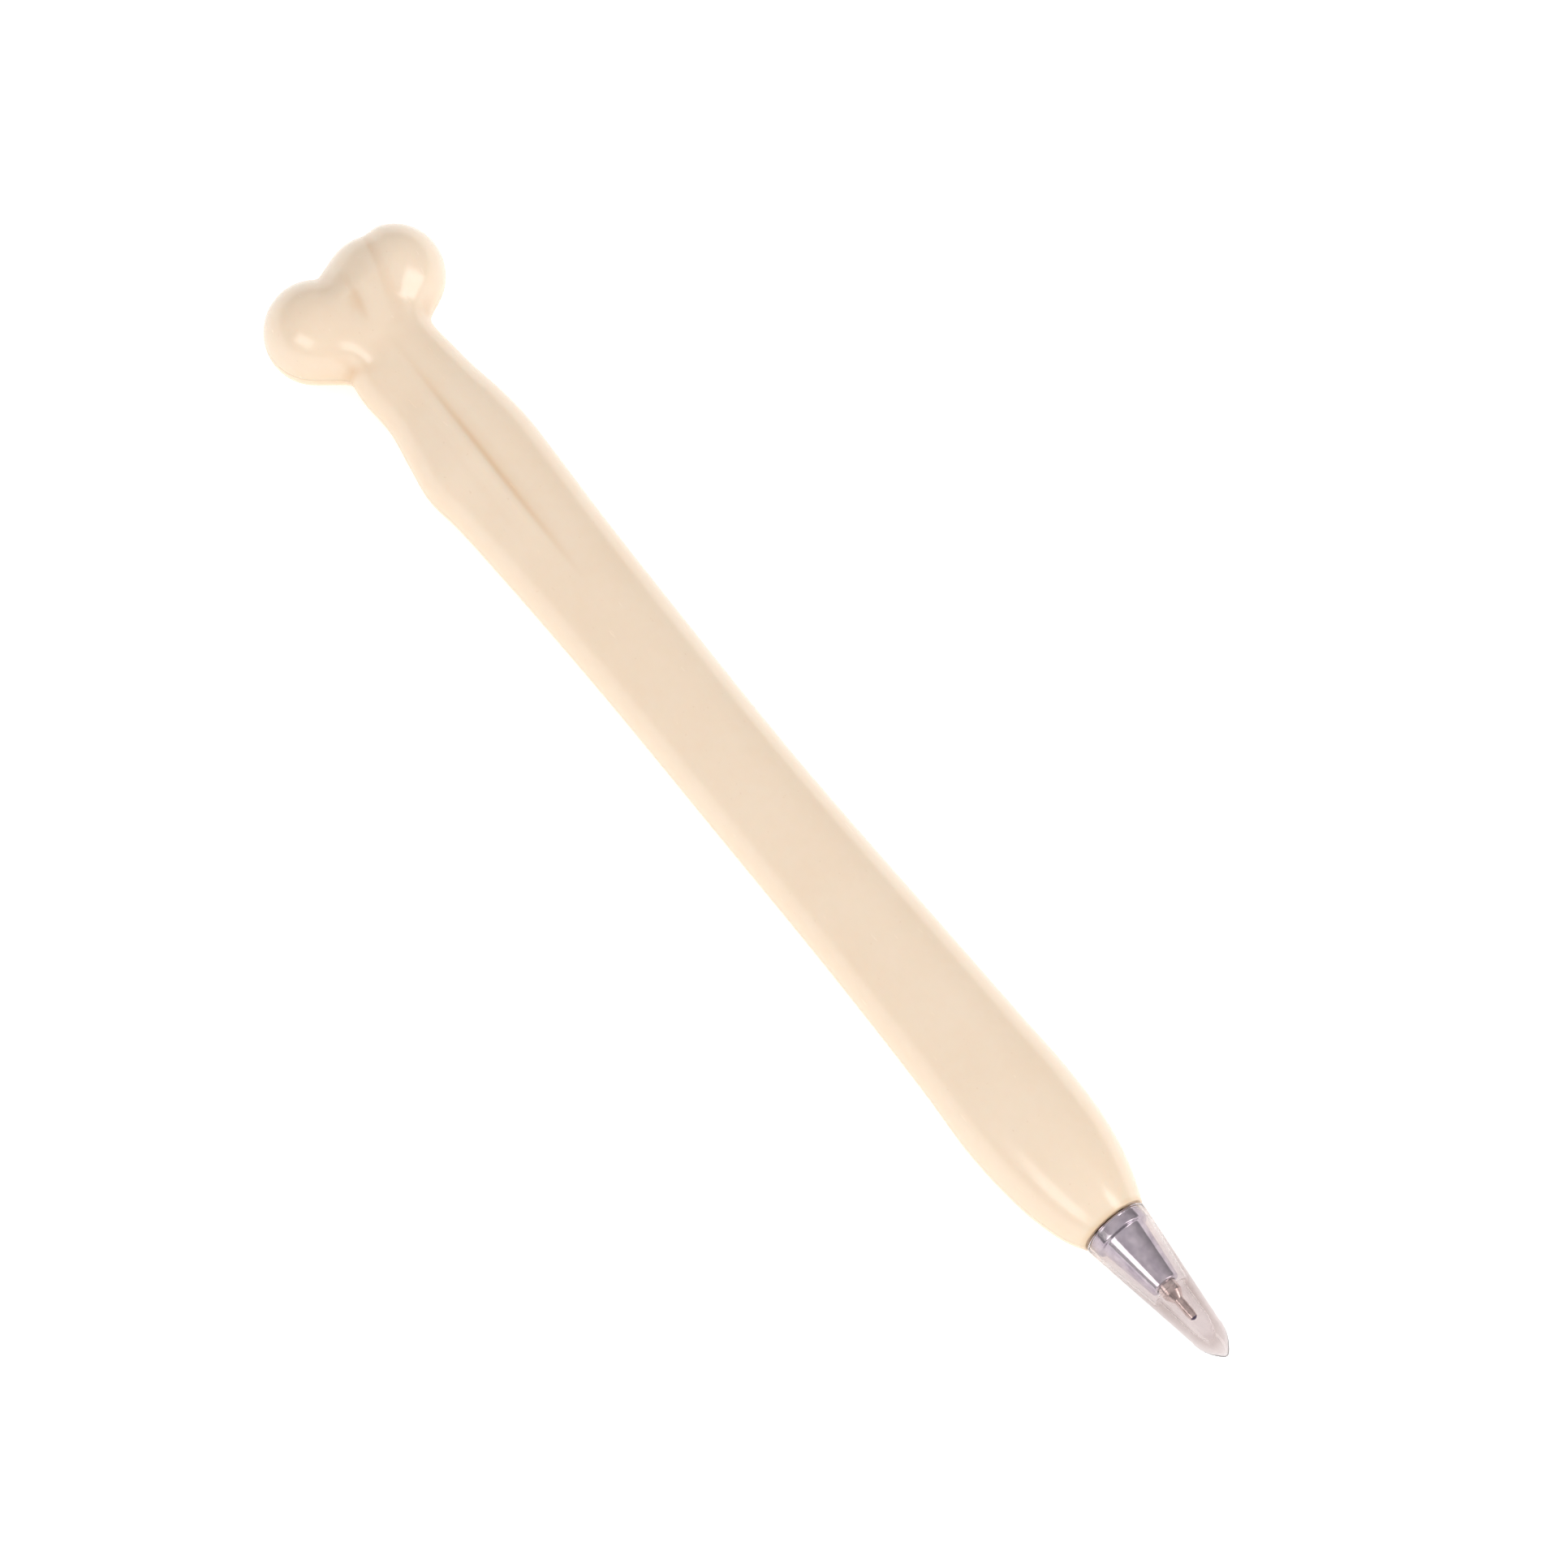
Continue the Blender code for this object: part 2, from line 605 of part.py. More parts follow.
def build_cap(collection, material):
    outline = cap_outside(7)
    outline += [(CAP_BACK - 0.2, CAP_MOUTH_RADIUS - 0.04), (CAP_BACK, CAP_MOUTH_RADIUS - 0.14)]
    outline += [(CAP_BACK, COLLAR_RADIUS + 0.16), (CAP_BACK - 0.3, COLLAR_RADIUS + 0.06)]
    outline += [(COLLAR_FRONT - 0.3, COLLAR_RADIUS + 0.04), (CAP_STEP, 1.95), (CAP_STEP, 1.62)]
    outline += [(CAP_STEP - 0.25, 1.5), (4.3, 1.12), (2.9, 0.7), (2.2, 0.0)]
    cap = turned("tip_cap", collection, outline, 36)
    cap.data.materials.append(material)
    return cap


def build_pen():
    clear_scene()
    pen = new_collection("bone_pen")
    tools = new_collection("cutters")
    bone = new_material("bone_plastic", (0.86, 0.72, 0.55), 0.28)
    brass = new_material("bush_brass", (0.78, 0.6, 0.3), 0.3, metallic=1.0)
    chrome = new_material("nose_chrome", (0.75, 0.74, 0.76), 0.1, metallic=1.0)
    nickel = new_material("point_nickel", (0.68, 0.64, 0.6), 0.22, metallic=1.0)
    carbide = new_material("ball_carbide", (0.35, 0.33, 0.38), 0.15, metallic=1.0)
    tubing = new_material("tube_plastic", (0.85, 0.85, 0.83), 0.3, alpha=0.5)
    ink = new_material("ink", (0.03, 0.02, 0.08), 0.4)
    clear = new_material("cap_plastic", (0.9, 0.88, 0.88), 0.08, alpha=0.35)

    cavity = build_cavity(tools)
    build_shell("barrel_upper_shell", pen, tools, bone, cavity, 1)
    build_shell("barrel_lower_shell", pen, tools, bone, cavity, -1)
    build_bush(pen, tools, brass)
    build_nose_cone(pen, chrome)
    build_refill_point(pen, nickel)
    build_ball(pen, carbide)
    build_ink_tube(pen, tubing)
    build_ink(pen, ink)
    build_cap(pen, clear)
    for item in tools.objects:
        hide_tool(item)


build_pen()
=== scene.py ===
"""The looks of a bone-shaped ballpoint pen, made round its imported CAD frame.

The bone is two glossy moulded halves with a channel down the neck and a crease between the
knuckles. The nose cone is chromed, the refill's point is nickel, and the tip cap is tinted clear
plastic. Inside this script a place on the pen is (back, across, up) in millimetres: back from the
end of the cap, across from the refill's centre line, and up from the parting plane.
"""

import math

import bmesh
import bpy
import numpy as np
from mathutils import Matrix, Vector


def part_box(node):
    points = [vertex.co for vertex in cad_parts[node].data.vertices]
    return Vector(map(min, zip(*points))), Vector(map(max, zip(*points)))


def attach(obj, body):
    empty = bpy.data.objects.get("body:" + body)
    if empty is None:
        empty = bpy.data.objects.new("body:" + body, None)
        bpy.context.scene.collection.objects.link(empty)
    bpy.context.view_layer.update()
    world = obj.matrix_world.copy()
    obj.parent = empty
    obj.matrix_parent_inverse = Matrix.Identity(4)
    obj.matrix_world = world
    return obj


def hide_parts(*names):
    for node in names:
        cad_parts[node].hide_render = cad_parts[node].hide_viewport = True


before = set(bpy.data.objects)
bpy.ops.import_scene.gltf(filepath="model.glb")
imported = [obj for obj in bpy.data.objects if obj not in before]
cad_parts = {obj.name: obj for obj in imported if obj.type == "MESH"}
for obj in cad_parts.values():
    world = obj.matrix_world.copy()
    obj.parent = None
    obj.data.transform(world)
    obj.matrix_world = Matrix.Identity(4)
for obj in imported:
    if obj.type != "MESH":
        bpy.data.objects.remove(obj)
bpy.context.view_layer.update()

MM = 0.001

# ---- driving dimensions, in millimetres ----
REST_DEPTH = 5.9  # from the parting plane down to the resting flats
PARTING_GAP = 0.02  # width of the welded seam between the halves
LIP = 0.05  # how much the seam's two edges are rounded

# The shaft's outline: back, half width on the +Y side, half width on the -Y side, half height.
SHAFT = (
    (18.1, 3.74, 3.78, 3.76),
    (19.7, 4.44, 4.62, 4.45),
    (23.1, 5.62, 5.60, 5.40),
    (28.3, 6.63, 6.24, 6.00),
    (33.4, 6.97, 6.34, 6.10),
    (41.1, 6.94, 5.74, 5.90),
    (54.0, 6.89, 5.03, 5.65),
    (77.1, 6.90, 4.29, 5.45),
    (97.7, 7.65, 3.76, 5.45),
    (112.0, 8.38, 3.72, 5.55),
    (119.0, 8.88, 3.86, 5.58),
    (123.5, 9.12, 4.16, 5.60),
    (127.5, 8.90, 3.42, 5.35),
    (131.5, 8.38, 2.62, 5.05),
    (136.0, 8.00, 2.60, 4.90),
    (144.0, 6.00, 0.60, 4.40),
)
# Each knuckle is a tapered bulb from one ball to another: back, across, radius of each ball.
LARGE_KNUCKLE = ((144.5, 8.42, 5.25), (145.3, 6.3, 4.7))
SMALL_KNUCKLE = ((144.75, -1.78, 5.25), (141.95, 1.2, 5.0))
KNUCKLE_BRIDGE = ((144.3, 2.3, 4.3), (144.0, 3.4, 4.3))
KNUCKLE_FULLNESS = 0.87  # a knuckle's half width over its half height
BRIDGE_FULLNESS = 0.85
LARGE_FILLET = 4.8
SMALL_FILLET = 0.75
BRIDGE_FILLET = 3.4
CROWN_FILLET = 1.6  # how much softer the creases are on top than at the seam
CROWN_START, CROWN_END = 1.8, 4.6  # the heights between which they soften
NOTCH_FRONT, NOTCH_BACK = 143.0, 149.5  # between these they grow crisp again, towards the notch
KNOB_CENTRE = (142.6, 3.4)  # back and across of the point that the knob's surface fans out from
NECK_START = 125.0  # behind this the rings' centres move over to the knob's centre

# The channel along the top of the neck: back and across of its two ends.
CHANNEL_ENDS = ((138.5, 3.0), (103.5, 1.4))
CHANNEL_DEPTH = 0.5
CHANNEL_WIDTHS = (0.9, 2.2)  # of its steep side, by the ridge, and of its gentle side
RIDGE_HEIGHT, RIDGE_OFFSET, RIDGE_WIDTH = 0.14, 1.2, 1.0  # the low ridge along its steep side
# The crease between the knuckles: back and across of its two ends.
CREASE_ENDS = ((147.4, 3.4), (138.8, 1.2))
CREASE_DEPTH, CREASE_WIDTHS = 0.36, (1.5, 1.0)

WALL = 1.7
CAVITY_FRONT = 28.0
BULKHEADS = (46.0, 78.0)
STOP_WALL = 109.5  # the cross wall that the refill ends in front of
BULKHEAD_THICKNESS = 1.6
WAY_RADIUS = 1.9  # of the round way for the refill through the cross walls
VENT_RADIUS = 0.3  # of the small vent through the stop wall
BORE_RADIUS = 3.05
POCKET_FRONT, POCKET_BACK, POCKET_RADIUS = 24.1, 25.7, 4.12

MOUTH, RIM = 18.1, 0.15  # where the bone starts, and the round of its rim
OUTER_RINGS, OUTER_FAN, OUTER_SIDES = 320, 64, 104
INNER_STEP, INNER_FAN, INNER_SIDES = 1.5, 14, 28
FAN_PACE = 6.0  # how far one radian of the fan counts along the seam
LONGEST_RAY = 16.0  # further than any point of the surface is from the bone's spine
HALVINGS = 34  # of a ray, to find where it meets the surface
SMOOTH_ANGLE = 32.0  # degrees; sharper edges than this are shaded as edges
CREASE_SHADE_REACH = 0.5  # how wide a hollow has to be to take the painted crease shade
CREASE_SHADE_FLOOR = 0.12  # share of the painted crease shade on level surfaces
UNDERSIDE_SHADE_SPREAD = 3.0  # how far above and below the seam the painted underside shade fades in

THREAD_PITCH, THREAD_DEPTH, THREAD_ROOT = 1.0, 0.35, 1.95
THREAD_FRONT, THREAD_BACK = 18.7, 24.4
THREAD_RINGS = 16  # along one pitch
NOSE_FRONT, NOSE_BORE = 9.7, 1.12
COLLAR_FRONT, COLLAR_BACK, COLLAR_RADIUS = 16.5, 17.95, 3.12
SPIGOT_BACK = 25.4
TUBE_SEAT, TUBE_RADIUS, TUBE_BORE = 14.2, 1.5, 0.9
TUBE_FRONT = 14.4

BALL_BACK, BALL_RADIUS, BALL_CLEARANCE = 5.45, 0.4, 0.03
POINT_SHOULDER, POINT_RADIUS, POINT_BACK = 8.5, 1.04, 18.0

CAP_BACK, CAP_MOUTH_RADIUS = 17.85, 3.7
CAP_SHOULDER, CAP_SHOULDER_RADIUS = 3.4, 1.85
CAP_STEP = 8.9
CAP_FLAT = 0.24

# ---- the studio's own sizes, in metres ----
VIEW_FROM = (0.2848, -0.2306, 0.9304)  # the way from the pen to the camera
VIEW_CENTRE = Vector((-0.0013, 0.0010, 0.0059))
VIEW_WIDTH = 0.159
LENS, SENSOR = 1000.0, 36.0
LIGHT_DISTANCE = 0.7
FLOOR_SIZE = 6.0
FLOOR_GLOW = 0.42  # the paper is lit from behind, which hides the pen's shadow
ROOM_LOW, ROOM_HIGH = 0.36, 0.96
ROOM_COLOUR = (1.0, 1.0, 1.0, 1.0)

# ---- where the pen lies ----
nose_low, nose_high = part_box("nose_cone")
TIP = Vector((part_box("tip_cap")[1].x, (nose_low.y + nose_high.y) / 2, (nose_low.z + nose_high.z) / 2))


def place(back, across, up):
    """The world point, in metres, of a place on the pen."""
    return TIP + Vector((-back, across, up)) * MM


# ---- shader expressions ----


class Value:
    """A socket in a material's nodes, which plain arithmetic can be done on."""

    def __init__(self, finish, socket):
        self.finish = finish
        self.socket = socket

    def __add__(self, other):
        return self.finish.math("ADD", self, other)

    def __radd__(self, other):
        return self.finish.math("ADD", other, self)

    def __sub__(self, other):
        return self.finish.math("SUBTRACT", self, other)

    def __rsub__(self, other):
        return self.finish.math("SUBTRACT", other, self)

    def __mul__(self, other):
        return self.finish.math("MULTIPLY", self, other)

    def __rmul__(self, other):
        return self.finish.math("MULTIPLY", other, self)


class Finish:
    """A material with its node tree, built by expressions."""

    def __init__(self, name):
        self.material = bpy.data.materials.new(name)
        self.material.use_nodes = True
        self.nodes = self.material.node_tree.nodes
        self.links = self.material.node_tree.links
        self.shader = self.nodes["Principled BSDF"]

    def node(self, kind, settings=None, output=0, **sockets):
        """Adds a node: its settings first, then the values or links of its named sockets."""
        made = self.nodes.new(kind)
        for key, value in (settings or {}).items():
            setattr(made, key, value)
        for key, value in sockets.items():
            self.feed(made.inputs[int(key[1:]) if key[1:].isdigit() else key.replace("_", " ")], value)
        return Value(self, made.outputs[output])

    def feed(self, socket, value):
        if isinstance(value, Value):
            self.links.new(value.socket, socket)
        else:
            socket.default_value = value

    def math(self, operation, one, other):
        return self.node("ShaderNodeMath", {"operation": operation}, _0=one, _1=other)

    def set(self, **sockets):
        """Sets the shader's own sockets."""
        for key, value in sockets.items():
            self.feed(self.shader.inputs[key.replace("_", " ")], value)

    def tint_through(self, colour, density):
        """Makes thick places deeper in colour than thin walls; density is for each metre."""
        body = self.node("ShaderNodeVolumeAbsorption", Color=colour, Density=density)
        self.links.new(body.socket, self.nodes["Material Output"].inputs["Volume"])

    def place(self):
        return self.node("ShaderNodeTexCoord", output="Object")

    def stretched(self, along, across):
        """The object's own coordinates, scaled along the pen and across it."""
        return self.node("ShaderNodeMapping", Vector=self.place(), Scale=(along, across, across))

    def noise(self, scale, detail=2.0, where=None):
        """Cloudy variation from 0 to 1; scale is in clouds a metre."""
        where = where or self.place()
        return self.node("ShaderNodeTexNoise", Vector=where, Scale=scale, Detail=detail)

    def span(self, value, low, high, start=0.0, end=1.0):
        """Maps low..high to start..end, held at both ends."""
        settings = {"interpolation_type": "SMOOTHSTEP"}
        return self.node(
            "ShaderNodeMapRange", settings, Value=value, _1=low, _2=high, _3=start, _4=end
        )

    def mix(self, share, one, other):
        """A colour between two colours."""
        settings = {"data_type": "RGBA"}
        return self.node("ShaderNodeMix", settings, output=2, _0=share, _6=one, _7=other)

    def bump(self, height, depth, strength):
        """A normal from a height of 0 to 1 that stands for a depth in metres."""
        return self.node("ShaderNodeBump", Height=height, Distance=depth, Strength=strength)

    def attribute(self, name):
        settings = {"attribute_name": name, "attribute_type": "GEOMETRY"}
        return self.node("ShaderNodeAttribute", settings, output="Fac")


def rgb(red, green, blue):
    """A colour with an alpha of 1, from values as a screen shows them (0 to 255)."""
    linear = []
    for value in (red, green, blue):
        share = value / 255
        linear.append(share / 12.92 if share <= 0.04045 else ((share + 0.055) / 1.055) ** 2.4)
    return (*linear, 1.0)


def bone_finish():
    """Glossy cream plastic: faint mottling, painted shade in the hollows and on the underside, ripple and
    scuffs.
    """
    finish = Finish("cream_moulded_plastic")
    clouds = finish.noise(90.0, 3.0)
    mottle = finish.noise(900.0, 4.0)
    pale, deep = rgb(237, 217, 194), rgb(235, 213, 188)
    body = finish.mix(finish.span(clouds * 0.7 + mottle * 0.3, 0.3, 0.7), pale, deep)
    # painted shade: below the seam the plastic is painted darker and warmer, for the shade and warm bounce
    # light on the underside
    height = finish.node("ShaderNodeSeparateXYZ", output="Z", Vector=finish.place())
    low, high = (REST_DEPTH - UNDERSIDE_SHADE_SPREAD) * MM, (REST_DEPTH + UNDERSIDE_SHADE_SPREAD) * MM
    body = finish.mix(finish.span(height, low, high, 1.0, 0.0), body, rgb(229, 197, 156))
    # painted shade: the channel, the crease and the folds round the knuckles are painted darker and warmer
    # by the hollow share
    hollow = finish.attribute("hollow")
    body = finish.mix(hollow, body, rgb(224, 190, 154))
    speck = finish.span(finish.noise(2600.0, 1.0), 0.74, 0.8)
    body = finish.mix(speck * 0.25, body, rgb(214, 180, 148))
    ripple = finish.noise(420.0, 2.0)
    grain = finish.noise(5200.0, 3.0)
    scuff = finish.span(finish.noise(1.0, 5.0, finish.stretched(320.0, 1900.0)), 0.6, 0.8)
    finish.set(
        Base_Color=body,
        Roughness=0.2 + ripple * 0.08 + scuff * 0.05,
        Normal=finish.bump(ripple * 0.8 + grain * 0.2, 0.00003, 0.6),
        IOR=1.49,
        Subsurface_Weight=0.25,
        Subsurface_Radius=(1.0, 0.55, 0.35),
        Subsurface_Scale=0.002,
        Coat_Weight=0.3,
        Coat_Roughness=0.12,
    )
    return finish.material


def chrome_finish():
    """Bright plating over turned metal, with fine rings from the lathe and handling haze."""
    finish = Finish("bright_chrome_plate")
    haze = finish.noise(700.0, 4.0)
    rings = finish.noise(1.0, 2.0, finish.stretched(9000.0, 60.0))
    finish.set(
        Base_Color=finish.mix(finish.span(haze, 0.35, 0.7), rgb(214, 209, 219), rgb(190, 184, 197)),
        Metallic=1.0,
        Roughness=0.09 + haze * 0.1,
        Normal=finish.bump(rings, 0.000004, 0.5),
    )
    return finish.material


def nickel_finish():
    finish = Finish("drawn_nickel")
    haze = finish.noise(1500.0, 3.0)
    rings = finish.noise(1.0, 2.0, finish.stretched(14000.0, 80.0))
    finish.set(
        Base_Color=finish.mix(finish.span(haze, 0.35, 0.7), rgb(226, 212, 208), rgb(202, 186, 182)),
        Metallic=1.0,
        Roughness=0.2 + haze * 0.12,
        Normal=finish.bump(rings, 0.000004, 0.6),
    )
    return finish.material


def carbide_finish():
    finish = Finish("ground_carbide")
    pits = finish.noise(9000.0, 3.0)
    finish.set(
        Base_Color=finish.mix(finish.span(pits, 0.4, 0.7), rgb(92, 76, 108), rgb(66, 52, 84)),
        Metallic=1.0,
        Roughness=0.16 + pits * 0.14,
        Normal=finish.bump(pits, 0.000003, 0.5),
    )
    return finish.material


def brass_finish():
    finish = Finish("turned_brass")
    stain = finish.noise(1100.0, 4.0)
    rings = finish.noise(1.0, 2.0, finish.stretched(8000.0, 60.0))
    finish.set(
        Base_Color=finish.mix(finish.span(stain, 0.35, 0.7), rgb(214, 178, 104), rgb(178, 138, 76)),
        Metallic=1.0,
        Roughness=0.24 + stain * 0.16,
        Normal=finish.bump(rings, 0.000006, 0.6),
    )
    return finish.material


def clear_cap_finish():
    """Tinted clear plastic with faint flow lines along the pull of the mould."""
    finish = Finish("clear_tinted_plastic")
    flow = finish.noise(1.0, 3.0, finish.stretched(120.0, 900.0))
    haze = finish.noise(1300.0, 3.0)
    finish.set(
        Base_Color=finish.mix(finish.span(haze, 0.3, 0.7), rgb(246, 243, 243), rgb(240, 236, 237)),
        Roughness=0.07 + haze * 0.06,
        Normal=finish.bump(flow, 0.00002, 0.4),
        IOR=1.1,
        Transmission_Weight=1.0,
        Coat_Weight=0.6,
        Coat_Roughness=0.05,
    )
    finish.tint_through((0.70, 0.63, 0.61, 1.0), 560.0)
    return finish.material


def tube_finish():
    """Milky ink tubing."""
    finish = Finish("milky_tubing")
    cloud = finish.noise(500.0, 3.0)
    finish.set(
        Base_Color=finish.mix(finish.span(cloud, 0.3, 0.7), rgb(232, 232, 228), rgb(214, 216, 214)),
        Roughness=0.3 + cloud * 0.1,
        IOR=1.5,
        Transmission_Weight=0.6,
    )
    return finish.material


def ink_finish():
    finish = Finish("writing_ink")
    swirl = finish.noise(600.0, 4.0)
    finish.set(
        Base_Color=finish.mix(finish.span(swirl, 0.35, 0.7), rgb(22, 20, 46), rgb(36, 32, 70)),
        Roughness=0.18 + swirl * 0.15,
    )
    return finish.material


def floor_finish():
    """Matt white paper, lit brightly enough to lose its grain."""
    finish = Finish("white_paper_floor")
    fibre = finish.noise(2500.0, 4.0)
    finish.set(
        Base_Color=finish.mix(finish.span(fibre, 0.3, 0.7), rgb(252, 252, 252), rgb(249, 249, 249)),
        Roughness=0.85 + fibre * 0.1,
        Normal=finish.bump(fibre, 0.00003, 0.2),
        Emission_Color=(1.0, 1.0, 1.0, 1.0),
        Emission_Strength=FLOOR_GLOW,
    )
    return finish.material


# ---- the bone's form ----


def smooth_curve(knots, values, at):
    """A cubic through the knots, with the slope at each knot from its two neighbours."""
    steps = np.diff(knots)
    rises = np.diff(values) / steps
    slopes = np.empty_like(values)
    slopes[0] = rises[0]
    slopes[-1] = rises[-1]
    slopes[1:-1] = (rises[:-1] * steps[1:] + rises[1:] * steps[:-1]) / (steps[:-1] + steps[1:])
    span = np.clip(np.searchsorted(knots, at) - 1, 0, len(knots) - 2)
    step = steps[span]
    u = (at - knots[span]) / step
    start = (1 + 2 * u) * (1 - u) ** 2 * values[span] + u * (1 - u) ** 2 * step * slopes[span]
    end = u * u * (3 - 2 * u) * values[span + 1] + u * u * (u - 1) * step * slopes[span + 1]
    return start + end


def shaft_section(back):
    """Centre across, half width and half height of the shaft."""
    knots, plus, minus, height = np.array(SHAFT).T
    inside = np.clip(back, knots[0], knots[-1])
    plus_side = smooth_curve(knots, plus, inside)
    minus_side = smooth_curve(knots, minus, inside)
    centre = (plus_side - minus_side) / 2
    return centre, (plus_side + minus_side) / 2, smooth_curve(knots, height, inside)


def shaft_distance(back, across, up):
    centre, width, height = shaft_section(back)
    ratio = np.hypot((across - centre) / width, up / height)
    side = (ratio - 1) * np.minimum(width, height)
    beyond = back - SHAFT[-1][0]
    return np.where(beyond > 0, np.hypot(np.maximum(side, 0), beyond), side)


def bulb_distance(bulb, fullness, back, across, up):
    (back_0, across_0, radius_0), (back_1, across_1, radius_1) = bulb
    run, rise = back_1 - back_0, across_1 - across_0
    share = ((back - back_0) * run + (across - across_0) * rise) / (run * run + rise * rise)
    share = np.clip(share, 0, 1)
    off_back = back - back_0 - share * run
    off_across = across - across_0 - share * rise
    radius = radius_0 + (radius_1 - radius_0) * ease(share)
    return np.sqrt(off_back**2 + off_across**2 + (up * fullness) ** 2) - radius


def blend(one, other, fillet):
    """The union of two forms, with a rounded crease between them."""
    near = np.maximum(fillet - np.abs(one - other), 0) / fillet
    return np.minimum(one, other) - near**3 * fillet / 6


def ease(share):
    """From 0 to 1, level at both ends."""
    inside = np.clip(share, 0, 1)
    return inside * inside * (3 - 2 * inside)


def along_line(ends, back, across):
    """Share of the way from one end to the other, and signed distance off the line."""
    (back_0, across_0), (back_1, across_1) = ends
    run, rise = back_1 - back_0, across_1 - across_0
    length = math.hypot(run, rise)
    share = ((back - back_0) * run + (across - across_0) * rise) / length**2
    off = ((back - back_0) * rise - (across - across_0) * run) / length
    return share, off


def swell(share):
    """Nothing at the two ends, and one in the middle."""
    inside = np.clip(share, 0, 1)
    return np.sin(math.pi * inside) ** 2


def valley(off, widths):
    """A rounded valley across a line, one at its foot, with a width for each side."""
    return np.exp(-((off / np.where(off < 0, widths[0], widths[1])) ** 2))


def hollows(back, across, up):
    """How deep the channel and the crease are sunk into the upper half."""
    share, off = along_line(CHANNEL_ENDS, back, across)
    along = swell(share) ** 0.6
    channel = CHANNEL_DEPTH * valley(off, CHANNEL_WIDTHS)
    ridge = RIDGE_HEIGHT * valley(off + RIDGE_OFFSET, (RIDGE_WIDTH, RIDGE_WIDTH))
    crease_share, crease_off = along_line(CREASE_ENDS, back, across)
    crease = CREASE_DEPTH * valley(crease_off, CREASE_WIDTHS) * swell(crease_share)
    return np.where(up > 0, (channel - ridge) * along + crease, 0.0)


def bone_distance(back, across, up):
    """Below zero inside the bone, and roughly the distance to its surface outside."""
    large = bulb_distance(LARGE_KNUCKLE, KNUCKLE_FULLNESS, back, across, up)
    small = bulb_distance(SMALL_KNUCKLE, KNUCKLE_FULLNESS, back, across, up)
    bridge = bulb_distance(KNUCKLE_BRIDGE, BRIDGE_FULLNESS, back, across, up)
    raised = ease((np.abs(up) - CROWN_START) / (CROWN_END - CROWN_START))
    softer = CROWN_FILLET * raised * ease((NOTCH_BACK - back) / (NOTCH_BACK - NOTCH_FRONT))
    lobe = blend(large, bridge, BRIDGE_FILLET)
    form = blend(shaft_distance(back, across, up), lobe, LARGE_FILLET + softer)
    return blend(form, small, SMALL_FILLET + softer)


def surface_points(back_0, across_0, tilt, angle, inset, carved):
    """Points where rays from the bone's spine meet its surface, or one inset from it."""
    toward = (
        np.sin(tilt) + 0 * angle,
        np.cos(tilt) * np.cos(angle),
        np.cos(tilt) * np.sin(angle),
    )
    inner = np.zeros(toward[0].shape)
    outer = np.full(toward[0].shape, LONGEST_RAY)
    for _ in range(HALVINGS):
        middle = (inner + outer) / 2
        spot = (back_0 + toward[0] * middle, across_0 + toward[1] * middle, toward[2] * middle)
        gap = bone_distance(*spot) + inset
        if carved:
            gap = gap + hollows(*spot)
        inner = np.where(gap < 0, middle, inner)
        outer = np.where(gap < 0, outer, middle)
    return np.stack(
        [back_0 + toward[0] * inner, across_0 + toward[1] * inner, toward[2] * inner], axis=-1
    )


def ring_centres(backs):
    """Across positions of the spine that the rings are centred on."""
    to_knob = np.clip((backs - NECK_START) / (KNOB_CENTRE[0] - NECK_START), 0, 1)
    return shaft_section(backs)[0] * (1 - to_knob) + KNOB_CENTRE[1] * to_knob


def fan(backs, fan_rings):
    """Ring positions and tilts: level rings along the shaft, then a fan about the knob's centre."""
    tilts = np.arange(1, fan_rings + 1) * math.pi / 2 / fan_rings
    back = np.concatenate([backs, np.full(fan_rings, KNOB_CENTRE[0])])[:, None]
    across = np.concatenate([ring_centres(backs), np.full(fan_rings, KNOB_CENTRE[1])])[:, None]
    tilt = np.concatenate([np.zeros(len(backs)), tilts])[:, None]
    return back, across, tilt


# ---- meshes ----


class Body:
    """Collects points on the pen and the faces between them, and makes them one closed mesh."""

    def __init__(self):
        self.points = []
        self.faces = []

    def grid(self, points):
        """Adds rows of points joined by four-sided faces, and gives back their numbers."""
        rows, columns = points.shape[:2]
        numbers = len(self.points) + np.arange(rows * columns).reshape(rows, columns)
        self.points.extend(points.reshape(-1, 3))
        for near, far in zip(numbers, numbers[1:]):
            corners = zip(near, near[1:], far[1:], far)
            self.faces.extend(tuple(int(corner) for corner in face) for face in corners)
        return numbers

    def zip_edges(self, one, other, one_share, other_share):
        """Fills the strip between two edges, stepping along whichever lags behind."""
        i, j = 0, 0
        while i < len(one) - 1 or j < len(other) - 1:
            behind = i < len(one) - 1 and j < len(other) - 1 and one_share[i + 1] <= other_share[j + 1]
            step_one = j == len(other) - 1 or behind
            ahead = one[i + 1] if step_one else other[j + 1]
            self.faces.append((int(one[i]), int(ahead), int(other[j])))
            i, j = (i + 1, j) if step_one else (i, j + 1)

    def finish(self, name):
        mesh = bpy.data.meshes.new(name)
        mesh.from_pydata([place(*point) for point in self.points], [], self.faces)
        tidy_mesh(mesh)
        item = bpy.data.objects.new(name, mesh)
        bpy.context.scene.collection.objects.link(item)
        return item


def tidy_mesh(mesh):
    """Merges coinciding points, turns the faces outwards, and shades the round stretches smooth."""
    work = bmesh.new()
    work.from_mesh(mesh)
    bmesh.ops.remove_doubles(work, verts=work.verts, dist=0.0005 * MM)
    bmesh.ops.recalc_face_normals(work, faces=work.faces)
    work.to_mesh(mesh)
    work.free()
    mesh.shade_smooth()
    mesh.set_sharp_from_angle(angle=math.radians(SMOOTH_ANGLE))


# ---- the two bone halves ----


